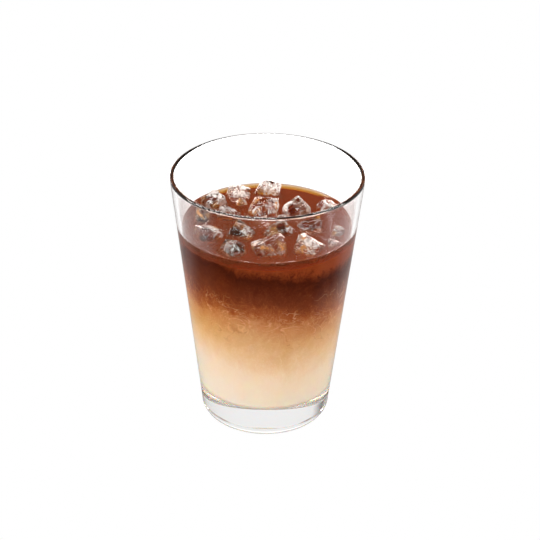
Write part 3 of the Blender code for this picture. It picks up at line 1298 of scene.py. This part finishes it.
@dataclass(frozen=True)
class StudioLight:
    """How bright the floor, the cards, the room and the lamps are."""

    # The floor, as what is clear lets it through and as what is shiny mirrors it.
    floor_size: float = 4.0
    floor_passed: Colour = (1.3, 1.3, 1.3)
    floor_reflected: Colour = (0.14, 0.115, 0.10)
    floor_reflected_behind: Colour = (0.44, 0.40, 0.385)
    floor_change: float = 60.0 * MM

    # The far floor on both sides, as it shows through both walls of the glass.
    side_passed: Colour = (0.94, 0.86, 0.84)
    side_start: float = 26.0 * MM
    side_behind: float = 100.0 * MM
    side_fade: float = 12.0 * MM
    side_bounces: float = 3.5

    # The dark cloth before the glass.
    cloth: Colour = (0.04, 0.028, 0.02)
    cloth_passed: Colour = (0.44, 0.31, 0.22)
    cloth_start: float = 20.0 * MM
    cloth_taper: float = 0.35
    cloth_fade: float = 50.0 * MM

    # The ring of card, with a gap that draws a darker streak in the base.
    card: Colour = (0.90, 0.90, 0.90)
    card_low: Colour = (1.3, 1.3, 1.3)
    card_gap: Colour = (0.12, 0.12, 0.12)
    card_gap_azimuth: float = -54.0
    card_gap_width: float = 17.0
    card_radius: float = 200.0 * MM
    card_foot: float = 45.0 * MM
    card_height: float = 105.0 * MM
    card_change: float = 72.0 * MM
    card_fade: float = 20.0 * MM

    # The strip behind the glass.
    strip: float = 11.0
    strip_colour: Colour = (1.0, 0.90, 0.84)
    strip_radius: float = 68.0 * MM
    strip_foot: float = 97.5 * MM
    strip_height: float = 12.5 * MM
    strip_ahead: float = 0.45

    # The room.
    horizon: Colour = (0.95, 0.93, 0.92)
    horizon_top: float = 0.12
    horizon_fade: float = 0.20
    room: Colour = (0.50, 0.44, 0.40)
    dark_wall: Colour = (0.24, 0.17, 0.12)
    dark_wall_ahead: Point = (0.76, 0.90)

    # Name, distance, azimuth, elevation, size and power of each lamp and each bright card.
    panels: tuple[Panel, ...] = (
        Panel("left_softbox", 1.0, -120.0, 35.0, (0.5, 0.5), 4.0),
        Panel("right_softbox", 1.0, 110.0, 30.0, (0.4, 0.5), 3.0),
        Panel("back_left_softbox", 1.0, -40.0, 25.0, (0.5, 0.4), 6.0),
        Panel("back_right_softbox", 1.0, 45.0, 25.0, (0.4, 0.4), 5.0),
        Panel("top_softbox", 0.8, -20.0, 72.0, (0.28, 0.16), 4.0),
        Panel("front_softbox", 1.2, 180.0, 10.0, (0.9, 0.22), 5.0),
        Panel("top_glint", 0.8, -20.0, 72.0, (0.28, 0.16), 4.0, PanelKind.GLINT),
        Panel("front_glint", 1.2, 180.0, 16.0, (0.9, 0.75), 42.0, PanelKind.GLINT),
        Panel("front_left_glint", 1.2, -132.0, 16.0, (1.0, 0.75), 42.0, PanelKind.GLINT, (1.0, 0.84, 0.74)),
        Panel("front_right_glint", 1.2, 132.0, 16.0, (1.0, 0.75), 36.0, PanelKind.GLINT, (1.0, 0.82, 0.70)),
        Panel("left_glint", 1.0, -75.0, 42.0, (0.22, 0.4), 4.0, PanelKind.GLINT),
        Panel("right_glint", 1.0, 80.0, 45.0, (0.22, 0.4), 4.0, PanelKind.GLINT),
        Panel("back_left_glint", 1.0, -42.0, 58.0, (0.3, 0.16), 2.6, PanelKind.GLINT),
        Panel("back_right_glint", 1.0, 40.0, 60.0, (0.3, 0.16), 2.6, PanelKind.GLINT),
    )


class Studio:
    """Floor, lights and camera."""

    HOOP_STEPS = 96
    BOUNCES = 24

    def __init__(self, camera: CameraPlace, light: StudioLight) -> None:
        """Keeps the camera's place and the light.

        Args:
            camera: Where the photograph was taken from.
            light: How bright the floor and the room are.
        """
        self.camera = camera
        self.light = light

    def make_floor(self) -> None:
        """A plain white floor, with a dark cloth before the glass that only its front reflects."""
        light = self.light
        shader = Shader("studio_floor")
        way = shader.add("ShaderNodeLightPath")
        where = shader.parts()
        side = shader.math("ABSOLUTE", where.outputs["X"])
        front = shader.math("MULTIPLY_ADD", where.outputs["Y"], -1.0, light.cloth_start)
        front = shader.math("MULTIPLY_ADD", side, -light.cloth_taper, front)
        cloth = shader.math("MULTIPLY", front, 1 / light.cloth_fade, clamp=True)
        behind = shader.math("DIVIDE", where.outputs["Y"], light.floor_change, clamp=True)
        plain = shader.mix(behind, light.floor_reflected, light.floor_reflected_behind)
        reflected = shader.mix(cloth, plain, light.cloth)
        through = shader.mix(cloth, light.floor_passed, light.cloth_passed)
        far = self.beyond(shader, where.outputs["Y"], light.side_behind, light.side_fade)
        wide = self.beyond(shader, side, light.side_start, light.side_fade)
        deep = shader.math("GREATER_THAN", way.outputs["Transmission Depth"], light.side_bounces)
        beside = shader.math("MULTIPLY", shader.math("MULTIPLY", far, wide), deep)
        through = shader.mix(beside, through, light.side_passed)
        unseen = shader.mix(way.outputs["Is Reflection Ray"], through, reflected)
        colour = shader.mix(way.outputs["Is Camera Ray"], unseen, WHITE)
        shape = bmesh.new()
        bmesh.ops.create_grid(shape, x_segments=2, y_segments=2, size=light.floor_size)
        as_object("studio_floor", shape, shader.glow(colour))

    @staticmethod
    def beyond(shader: Shader, distance: bpy.types.NodeSocket, start: float,
               fade: float) -> bpy.types.NodeSocket:
        """A strength that grows from 0 to 1 past a distance.

        Args:
            shader: The node tree.
            distance: The distance's socket.
            start: Where it starts.
            fade: How long it takes.

        Returns:
            The strength's socket.
        """
        return shader.math("MULTIPLY_ADD", distance, 1 / fade, -start / fade, clamp=True)

    def make_reflector(self) -> None:
        """A ring of white card round the glass, out of the picture, which lights its thick base."""
        light = self.light
        shader = Shader("reflector_card")
        where = shader.parts()
        turn = shader.math("ARCTAN2", where.outputs["X"], where.outputs["Y"])
        away = shader.math("ABSOLUTE", shader.math("SUBTRACT", turn, math.radians(light.card_gap_azimuth)))
        away = shader.math("DIVIDE", away, math.radians(light.card_gap_width), clamp=True)
        low = shader.math("SUBTRACT", light.card_change, where.outputs["Z"])
        low = shader.math("MULTIPLY_ADD", low, 1 / light.card_fade, 0.5, clamp=True)
        colour = shader.mix(low, shader.mix(away, light.card_gap, light.card), light.card_low)
        shape = self.hoop(light.card_radius, light.card_foot, light.card_height)
        card = as_object("reflector_card", shape, shader.glow(colour))
        card.visible_glossy = False
        self.hide_card(card)

    def make_horizon(self) -> None:
        """A bright strip behind the glass, level with the drink's edge, which draws its light line."""
        light = self.light
        shape = self.hoop(light.strip_radius, light.strip_foot, light.strip_height)
        ahead = light.strip_radius * light.strip_ahead
        near = [vertex for vertex in shape.verts if vertex.co.y < ahead]
        bmesh.ops.delete(shape, geom=near, context="VERTS")
        glint = self.glint("horizon_glint", light.strip_colour, light.strip)
        self.hide_card(as_object("horizon_glint", shape, glint))

    @staticmethod
    def glint(name: str, colour: Colour, radiance: float) -> bpy.types.Material:
        """A glow that what is clear or shiny shows, but not in the light that matt surfaces pass on.

        Args:
            name: Name of the material.
            colour: The glow's colour.
            radiance: How bright it is.

        Returns:
            The material.
        """
        shader = Shader(name)
        depth = shader.add("ShaderNodeLightPath").outputs["Diffuse Depth"]
        return shader.glow(colour, shader.math("MULTIPLY", shader.math("LESS_THAN", depth, 0.5), radiance))

    def hoop(self, radius: float, foot: float, height: float) -> bmesh.types.BMesh:
        """An upright ring of card round the glass.

        Args:
            radius: Its radius.
            foot: Height of its lower edge.
            height: How tall it is.

        Returns:
            The ring.
        """
        shape = bmesh.new()
        bmesh.ops.create_circle(shape, segments=self.HOOP_STEPS, radius=radius)
        bmesh.ops.translate(shape, verts=shape.verts[:], vec=(0, 0, foot))
        rise = bmesh.ops.extrude_edge_only(shape, edges=shape.edges[:])
        top = [part for part in rise["geom"] if isinstance(part, bmesh.types.BMVert)]
        bmesh.ops.translate(shape, verts=top, vec=(0, 0, height))
        return shape

    def make_world(self) -> None:
        """A white horizon under a grey room, with a dark wall where the coffee's surface mirrors it."""
        world = bpy.data.worlds.new("studio_world")
        bpy.context.scene.world = world
        world.use_nodes = True
        sky = Nodes(world.node_tree, "ShaderNodeOutputWorld")
        light = self.light
        tilt = math.radians(self.camera.elevation)
        where = sky.parts("Generated")
        ahead = sky.math("MULTIPLY", where.outputs["Y"], math.cos(tilt))
        ahead = sky.math("MULTIPLY_ADD", where.outputs["Z"], math.sin(tilt), ahead)
        room = sky.ramp(ahead, list(zip(light.dark_wall_ahead, (light.room, light.dark_wall))), "EASE")
        up = sky.math("SUBTRACT", where.outputs["Z"], light.horizon_top)
        up = sky.math("DIVIDE", up, light.horizon_fade, clamp=True)
        camera = sky.add("ShaderNodeLightPath").outputs["Is Camera Ray"]
        colour = sky.mix(camera, sky.mix(up, light.horizon, room), WHITE)
        background = sky.add("ShaderNodeBackground", Color=colour)
        sky.tree.links.new(background.outputs[0], sky.output.inputs["Surface"])

    def make_lamp(self, panel: Panel) -> None:
        """Hangs a soft lamp, which no clear or shiny surface shows.

        Args:
            panel: Its place, size and power.
        """
        data = bpy.data.lights.new(panel.name, "AREA")
        data.shape = "RECTANGLE"
        data.size, data.size_y = panel.size
        data.energy = panel.power
        data.cycles.use_multiple_importance_sampling = False
        lamp = bpy.data.objects.new(panel.name, data)
        lamp.matrix_world = panel.place(self.aim())
        lamp.visible_glossy = False
        lamp.visible_transmission = False
        bpy.context.scene.collection.objects.link(lamp)

    def make_glint(self, panel: Panel) -> None:
        """Hangs a bright card, which only clear and shiny surfaces show.

        Args:
            panel: Its place, size and power.
        """
        shape = bmesh.new()
        bmesh.ops.create_grid(shape, x_segments=1, y_segments=1, size=0.5)
        bmesh.ops.scale(shape, verts=shape.verts[:], vec=(*panel.size, 1.0))
        bmesh.ops.transform(shape, verts=shape.verts[:], matrix=panel.place(self.aim()))
        glint = self.glint(panel.name, panel.colour, panel.radiance())
        self.hide_card(as_object(panel.name, shape, glint))

    def aim(self) -> Vector:
        """The middle of the glass, which the panels point at."""
        return Vector((0, 0, self.camera.glass_middle))

    @staticmethod
    def hide_card(card: bpy.types.Object) -> None:
        """Leaves a bright card in view of clear and shiny surfaces alone, and lets it light nothing.

        Args:
            card: The card.
        """
        card.data.materials[0].cycles.emission_sampling = "NONE"
        card.visible_camera = False
        card.visible_diffuse = False
        card.visible_shadow = False

    def make_camera(self) -> None:
        """The photograph's own view."""
        spot = self.camera
        elevation, roll = math.radians(spot.elevation), math.radians(spot.roll)
        back = Vector((0, -math.cos(elevation), math.sin(elevation)))
        up = Vector((0, math.sin(elevation), math.cos(elevation)))
        right = Vector((1, 0, 0))
        half = spot.picture_pixels / 2
        beside, below = half - spot.glass_middle_pixel[0], half - spot.glass_middle_pixel[1]
        across = math.cos(roll) * beside + math.sin(roll) * below
        down = -math.sin(roll) * beside + math.cos(roll) * below
        forward = (right * (across / spot.focal_pixels) - up * (down / spot.focal_pixels) - back).normalized()
        level = right * math.cos(roll) + up * math.sin(roll)
        side = (level - forward * level.dot(forward)).normalized()
        turn = Matrix((side, side.cross(forward), -forward)).transposed().to_4x4()
        where = Vector((0, 0, spot.glass_middle)) + back * spot.distance
        data = bpy.data.cameras.new("photograph")
        data.sensor_width = spot.sensor
        data.lens = spot.focal_pixels / spot.picture_pixels * spot.sensor
        data.clip_start, data.clip_end = spot.clip
        camera = bpy.data.objects.new("photograph", data)
        camera.matrix_world = Matrix.Translation(where) @ turn
        bpy.context.scene.collection.objects.link(camera)
        bpy.context.scene.camera = camera

    def build(self) -> None:
        """Sets up the studio."""
        scene = bpy.context.scene
        scene.view_settings.view_transform = "Standard"
        scene.cycles.max_bounces = self.BOUNCES
        scene.cycles.transmission_bounces = self.BOUNCES
        self.make_camera()
        self.make_floor()
        self.make_reflector()
        self.make_horizon()
        self.make_world()
        makers = {PanelKind.LAMP: self.make_lamp, PanelKind.GLINT: self.make_glint}
        for panel in self.light.panels:
            makers[panel.kind](panel)


def main() -> None:
    """Builds the drink, its glass and the studio."""
    logging.basicConfig(level=logging.INFO, format="%(name)s %(message)s")
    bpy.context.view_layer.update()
    low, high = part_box("tumbler")
    glass = TumblerShape(height=high.z, rim_radius=(high.x - low.x) / 2)
    drink = DrinkShape(glass=glass, level=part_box("coffee")[1].z - DrinkShape.meniscus_rise)
    layers = LatteFinish(foot=glass.floor, level=drink.level, half_width=drink.side(drink.level))

    ice = Ice(IceShape(), IceFinish(), sorted(name for name in frame["nodes"] if name.startswith("ice_")))
    ice.build()
    slope = glass.slope()
    drink_side = glass.inner(drink.level) - slope * drink.level - drink.overlap
    Drink(drink, layers, CoffeeFinish(drink_side, slope)).build(ice)
    middle_of_wall = glass.inner(0.0) + glass.wall / 2
    Tumbler(glass, GlassFinish(middle_of_wall, slope, drink.level)).build()
    Studio(CameraPlace(), StudioLight()).build()


if __name__ == "__main__":
    main()
